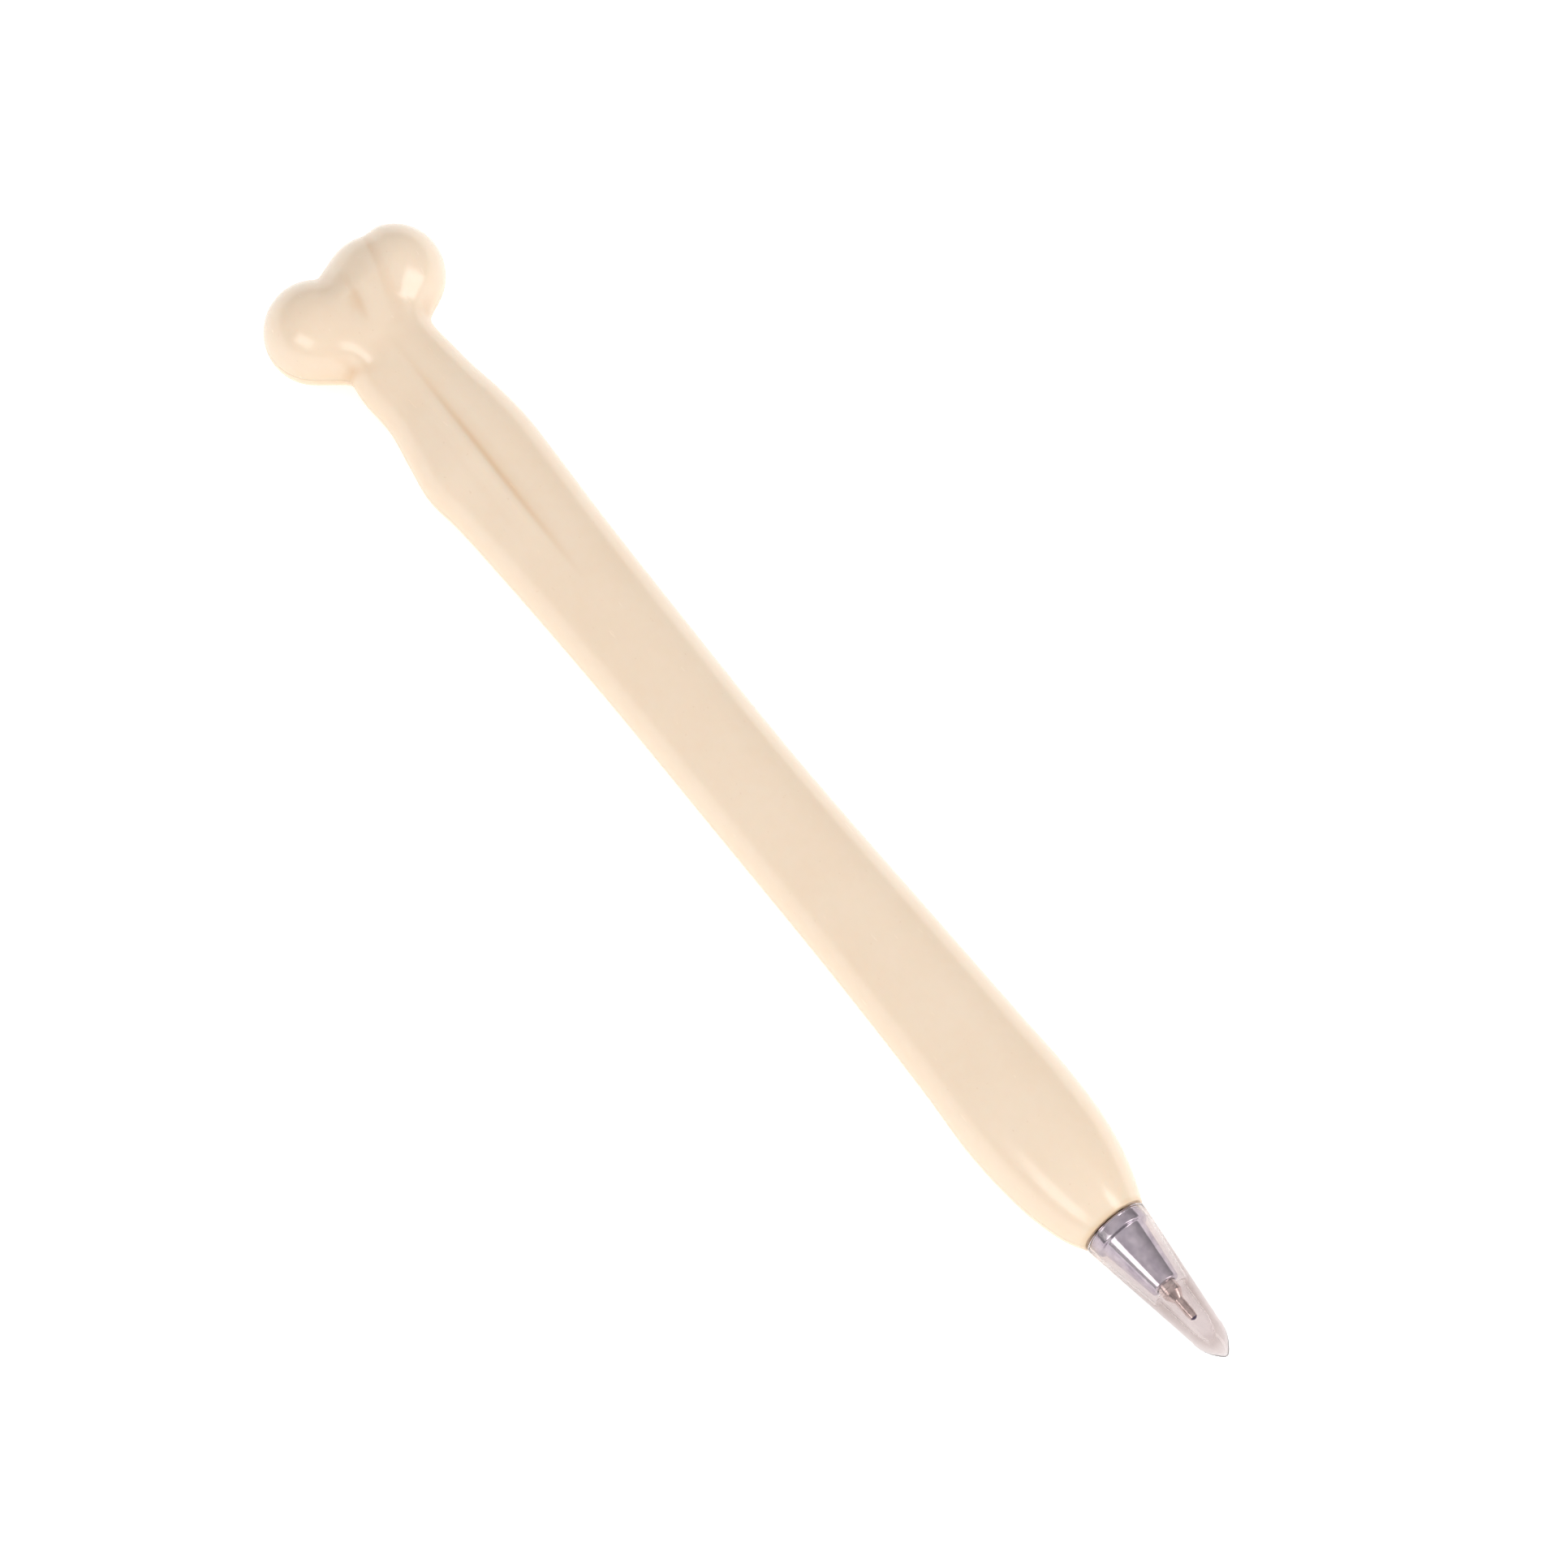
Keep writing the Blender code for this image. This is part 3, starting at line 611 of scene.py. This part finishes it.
def seam_columns():
    """Angles round a half from the +Y seam to the -Y seam, and how far each is drawn in at the lips."""
    lip_angles = LIP / SHAFT[0][1] * np.array([0.0, 0.12, 0.4])
    middle = np.linspace(LIP / SHAFT[0][1], math.pi - LIP / SHAFT[0][1], OUTER_SIDES)
    angles = np.concatenate([lip_angles, middle, math.pi - lip_angles[::-1]])
    lip_insets = LIP * np.array([1.0, 0.5, 0.15])
    insets = np.concatenate([lip_insets, np.zeros(OUTER_SIDES), lip_insets[::-1]])
    return angles, insets


def outer_skin(upper):
    """Rows of points over one half's outside, from the mouth's rounded rim to the knob's notch."""
    angles, lips = seam_columns()
    turn = np.linspace(0, math.pi / 2, 7)
    rim = MOUTH + RIM * (1 - np.cos(turn))
    backs = np.concatenate([rim, np.linspace(MOUTH + RIM, KNOB_CENTRE[0], OUTER_RINGS)[1:]])
    back, across, tilt = fan(backs, OUTER_FAN)
    rim_inset = np.zeros(len(back))
    rim_inset[: len(rim)] = RIM * (1 - np.sin(turn))
    inset = rim_inset[:, None] + lips * np.minimum(1, 6 * np.cos(tilt))
    points = surface_points(back, across, tilt, angles, inset, upper)
    return points, angles, (back + tilt * FAN_PACE)[:, 0]


def inner_stations():
    """The inside's rings: how far back, and the radius, or None where the inside follows the skin."""
    rings = [(MOUTH, BORE_RADIUS + 0.08), (MOUTH + 0.08, BORE_RADIUS), (POCKET_FRONT, BORE_RADIUS)]
    rings += [(POCKET_FRONT, POCKET_RADIUS), (POCKET_BACK, POCKET_RADIUS), (POCKET_BACK, WAY_RADIUS)]
    start, half = CAVITY_FRONT, BULKHEAD_THICKNESS / 2
    rings.append((start, WAY_RADIUS))
    walls = [(back, WAY_RADIUS) for back in BULKHEADS] + [(STOP_WALL, VENT_RADIUS)]
    for back, radius in walls:
        count = math.ceil((back - half - start) / INNER_STEP)
        rings += [(station, None) for station in np.linspace(start, back - half, count + 1)]
        rings += [(back - half, radius), (back + half, radius)]
        start = back + half
    count = math.ceil((KNOB_CENTRE[0] - start) / INNER_STEP)
    return rings + [(station, None) for station in np.linspace(start, KNOB_CENTRE[0], count + 1)]


def inner_skin():
    """Rows of points over one half's inside, from the mouth's bore to the end of the hollow knob."""
    stations = inner_stations()
    angles = np.linspace(0, math.pi, INNER_SIDES + 1)
    backs = np.array([back for back, _ in stations])
    back, across, tilt = fan(backs, INNER_FAN)
    points = surface_points(back, across, tilt, angles, WALL, False)
    for row, (station, radius) in enumerate(stations):
        if radius is not None:
            circle = (np.full(len(angles), station), radius * np.cos(angles), radius * np.sin(angles))
            points[row] = np.stack(circle, axis=-1)
    return points, angles, (back + tilt * FAN_PACE)[:, 0]


def crease_shade_share(back, across, up):
    """How much painted crease shade a point takes: near 0 on open surfaces and 1 in the sharpest hollows,
    from how the surface curves there.
    """
    step = CREASE_SHADE_REACH
    here = bone_distance(back, across, up) + hollows(back, across, up)
    bend = -6 * here
    for move in ((step, 0, 0), (0, step, 0), (0, 0, step)):
        for sign in (1, -1):
            spot = (back + sign * move[0], across + sign * move[1], up + sign * move[2])
            bend = bend + bone_distance(*spot) + hollows(*spot)
    return np.clip(CREASE_SHADE_FLOOR - bend / step**2, 0, 1)


def mark_crease_shade(item):
    """Writes each point's hollow share on the mesh, where the plastic is painted darker as crease shade.
    """
    points = np.empty(len(item.data.vertices) * 3)
    item.data.vertices.foreach_get("co", points)
    offset = (points.reshape(-1, 3) - np.array(TIP)) / MM
    share = crease_shade_share(-offset[:, 0], offset[:, 1], offset[:, 2])
    mark = item.data.attributes.new("hollow", "FLOAT", "POINT")
    mark.data.foreach_set("value", share.astype(np.float32))


def bone_half(name, side, stands_for, material):
    """One moulded half: side is 1 for the upper half and -1 for the lower half."""
    outside, outer_angles, outer_shares = outer_skin(side > 0)
    inside, inner_angles, inner_shares = inner_skin()
    half = Body()
    for points in (outside, inside):
        points[..., 2] = side * (points[..., 2] + PARTING_GAP / 2)
    outside[..., 2] = np.maximum(outside[..., 2], -REST_DEPTH)
    outer = half.grid(outside)
    inner = half.grid(inside)
    half.zip_edges(outer[0], inner[0], outer_angles, inner_angles)
    for column in (0, -1):
        half.zip_edges(outer[:, column], inner[:, column], outer_shares, inner_shares)
    item = half.finish(name)
    mark_crease_shade(item)
    item.data.materials.append(material)
    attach(item, "barrel")
    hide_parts(stands_for)


# ---- the turned pieces ----


def arc(back, radius, size, start, end, steps=8):
    """Points of a round; angles run from 0 towards the tip through 90 away from the refill's line."""
    points = []
    for angle in np.radians(np.linspace(start, end, steps + 1)):
        points.append((back - size * math.cos(angle), radius + size * math.sin(angle)))
    return points


def turned(name, outline, sides, thread=None):
    """A piece turned about the refill's line from a closed outline of (back, radius)."""
    outline = list(outline)
    if outline[0][1] > 0 or outline[-1][1] > 0:
        outline.append(outline[0])
    angles = np.linspace(0, 2 * math.pi, sides + 1)
    back, radius = (np.array(outline).T)[:, :, None]
    if thread:
        radius = radius + thread(back, angles, radius)
    points = np.stack(np.broadcast_arrays(back, radius * np.cos(angles), radius * np.sin(angles)), axis=-1)
    points[:, -1] = points[:, 0]
    piece = Body()
    piece.grid(points)
    return piece.finish(name)


def nose_thread(back, angle, radius):
    """How far the screw thread stands out from its root, fading in and out over half a turn."""
    wave = 0.5 + 0.5 * np.cos(2 * math.pi * back / THREAD_PITCH + angle)
    fade = np.clip(np.minimum(back - THREAD_FRONT, THREAD_BACK - back) / (0.5 * THREAD_PITCH), 0, 1)
    return np.where(np.abs(radius - THREAD_ROOT) < 0.01, THREAD_DEPTH * wave * fade, 0.0)


def nose_cone(material):
    """The chromed cone, its collar with rounded edges, and the threaded spigot behind it."""
    outline = [(NOSE_FRONT, NOSE_BORE)] + arc(NOSE_FRONT + 0.2, 1.42, 0.2, 0, 80)
    outline += arc(COLLAR_FRONT - 0.16, 2.76, 0.16, 270, 200, 4)
    outline += arc(COLLAR_FRONT + 0.22, COLLAR_RADIUS - 0.22, 0.22, 0, 90)
    outline += arc(COLLAR_BACK - 0.12, COLLAR_RADIUS - 0.12, 0.12, 90, 180, 5)
    count = round((THREAD_BACK - THREAD_FRONT) / THREAD_PITCH * THREAD_RINGS)
    outline += [(COLLAR_BACK, THREAD_ROOT)]
    outline += [(back, THREAD_ROOT) for back in np.linspace(THREAD_FRONT, THREAD_BACK, count + 1)]
    outline += [(SPIGOT_BACK - 0.15, THREAD_ROOT), (SPIGOT_BACK, THREAD_ROOT - 0.12)]
    outline += [(SPIGOT_BACK, TUBE_RADIUS + 0.1), (TUBE_SEAT, TUBE_RADIUS + 0.1), (TUBE_SEAT, NOSE_BORE)]
    item = turned("chromed_nose_cone", outline, 96, nose_thread)
    item.data.materials.append(material)
    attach(item, "nose")
    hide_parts("nose_cone")


def refill_point(material):
    """The drawn metal point: shank, rounded shoulder, thin nib, and the lip rolled over the ball."""
    socket = arc(BALL_BACK, 0, BALL_RADIUS + BALL_CLEARANCE, 150, 62, 12)
    lip_back, lip_radius = socket[-1]
    outline = [(POINT_BACK, 0.28), (socket[0][0] + 0.5, 0.28)] + socket
    outline += arc(lip_back + 0.03, lip_radius + 0.02, 0.035, 20, 100, 3)
    outline += [(BALL_BACK + 0.22, 0.49), (BALL_BACK + 0.4, 0.51), (7.6, 0.52)]
    outline += arc(7.6, 0.82, 0.3, 270, 235, 4)[1:]
    outline += arc(POINT_SHOULDER + 0.1, POINT_RADIUS - 0.16, 0.16, 40, 90, 5)
    outline += [(TUBE_FRONT - 0.1, POINT_RADIUS), (TUBE_FRONT - 0.1, TUBE_BORE - 0.04)]
    outline += [(POINT_BACK - 0.3, TUBE_BORE - 0.04), (POINT_BACK, TUBE_BORE - 0.2)]
    item = turned("drawn_refill_point", outline, 64)
    item.data.materials.append(material)
    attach(item, "refill")
    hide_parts("refill_point")


def writing_ball(material):
    item = turned("ground_ball", arc(BALL_BACK, 0, BALL_RADIUS, 0, 180, 32), 48)
    item.data.materials.append(material)
    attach(item, "ball")
    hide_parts("writing_ball")


def cap_end(steps):
    """The cap's blunt end: it opens quickly from a small flat, then runs into the long taper."""
    points = [(0.0, 0.0), (0.0, CAP_FLAT * 0.7)]
    for share in np.linspace(0, 1, steps + 1)[1:]:
        radius = CAP_FLAT + (CAP_SHOULDER_RADIUS - CAP_FLAT) * (1 - (1 - share) ** 2)
        points.append((CAP_SHOULDER * share, radius))
    return points


def tip_cap(material):
    """The clear cap: a solid blunt end, a stepped bore over the point, and a thin wall at the mouth."""
    outline = cap_end(20)
    outline += arc(CAP_BACK - 0.12, CAP_MOUTH_RADIUS - 0.16, 0.12, 75, 180, 6)
    outline += [(CAP_BACK, COLLAR_RADIUS + 0.16), (CAP_BACK - 0.3, COLLAR_RADIUS + 0.06)]
    outline += [(COLLAR_FRONT - 0.3, COLLAR_RADIUS + 0.04), (CAP_STEP + 0.1, 1.97)]
    outline += arc(CAP_STEP + 0.12, 1.85, 0.12, 60, 0, 4)
    outline += [(CAP_STEP, 1.68), (CAP_STEP - 0.08, 1.58), (CAP_STEP - 0.3, 1.49)]
    outline += [(4.3, 1.12), (3.3, 0.85), (2.8, 0.62), (2.45, 0.36), (2.3, 0.12), (2.28, 0.0)]
    item = turned("clear_tip_cap", outline, 128)
    item.data.materials.append(material)
    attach(item, "cap")
    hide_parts("tip_cap")


def carry_over(node, material):
    """Gives a CAD node that keeps its own shape its finish."""
    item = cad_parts[node]
    item.data.materials.clear()
    item.data.materials.append(material)


# ---- the studio ----


def lay_floor(material):
    bpy.ops.mesh.primitive_grid_add(x_subdivisions=8, y_subdivisions=8, size=FLOOR_SIZE)
    floor = bpy.context.object
    floor.name = "paper_floor"
    floor.data.materials.append(material)


def light_room():
    """An even pale room, dimmer near the floor than overhead."""
    world = bpy.data.worlds.new("pale_room")
    world.use_nodes = True
    bpy.context.scene.world = world
    nodes, links = world.node_tree.nodes, world.node_tree.links
    direction = nodes.new("ShaderNodeTexCoord")
    parts = nodes.new("ShaderNodeSeparateXYZ")
    height = nodes.new("ShaderNodeMapRange")
    height.inputs["To Min"].default_value = ROOM_LOW
    height.inputs["To Max"].default_value = ROOM_HIGH
    links.new(direction.outputs["Generated"], parts.inputs[0])
    links.new(parts.outputs["Z"], height.inputs["Value"])
    links.new(height.outputs[0], nodes["Background"].inputs["Strength"])
    nodes["Background"].inputs["Color"].default_value = ROOM_COLOUR


def camera_axes():
    """Right, up and towards the camera, as unit vectors."""
    toward = Vector(VIEW_FROM).normalized()
    turn = toward.to_track_quat("Z", "Y")
    return turn @ Vector((1, 0, 0)), turn @ Vector((0, 1, 0)), toward


def softbox(name, lean, size, strength, colour):
    """A soft rectangular light, placed by how far it leans to the camera's right, up and towards it."""
    right, up, toward = camera_axes()
    way = (right * lean[0] + up * lean[1] + toward * lean[2]).normalized()
    lamp = bpy.data.lights.new(name, "AREA")
    lamp.shape = "RECTANGLE"
    lamp.size, lamp.size_y = size
    lamp.energy = strength * size[0] * size[1] * math.pi
    lamp.color = colour
    item = bpy.data.objects.new(name, lamp)
    item.location = VIEW_CENTRE + way * LIGHT_DISTANCE
    item.rotation_euler = way.to_track_quat("Z", "Y").to_euler()
    item.visible_camera = False
    bpy.context.scene.collection.objects.link(item)


def set_camera():
    camera = bpy.data.cameras.new("camera")
    camera.lens = LENS
    camera.sensor_width = SENSOR
    camera.clip_end = 20.0
    item = bpy.data.objects.new("camera", camera)
    toward = camera_axes()[2]
    item.location = VIEW_CENTRE + toward * (VIEW_WIDTH * LENS / SENSOR)
    item.rotation_euler = toward.to_track_quat("Z", "Y").to_euler()
    bpy.context.scene.collection.objects.link(item)
    bpy.context.scene.camera = item


# ---- putting it together ----

bone = bone_finish()
bone_half("bone_upper_half", 1, "barrel_upper_shell", bone)
bone_half("bone_lower_half", -1, "barrel_lower_shell", bone)
nose_cone(chrome_finish())
refill_point(nickel_finish())
writing_ball(carbide_finish())
tip_cap(clear_cap_finish())
carry_over("nose_bush", brass_finish())
carry_over("ink_tube", tube_finish())
carry_over("ink_column", ink_finish())

lay_floor(floor_finish())
light_room()
softbox("window_right", (0.80, 0.05, 0.50), (0.20, 0.62), 4.2, (1.0, 0.98, 0.96))
softbox("window_left", (-0.48, -0.46, 0.72), (0.50, 0.28), 3.1, (1.0, 0.98, 0.96))
set_camera()
bpy.context.scene.view_settings.view_transform = "Standard"
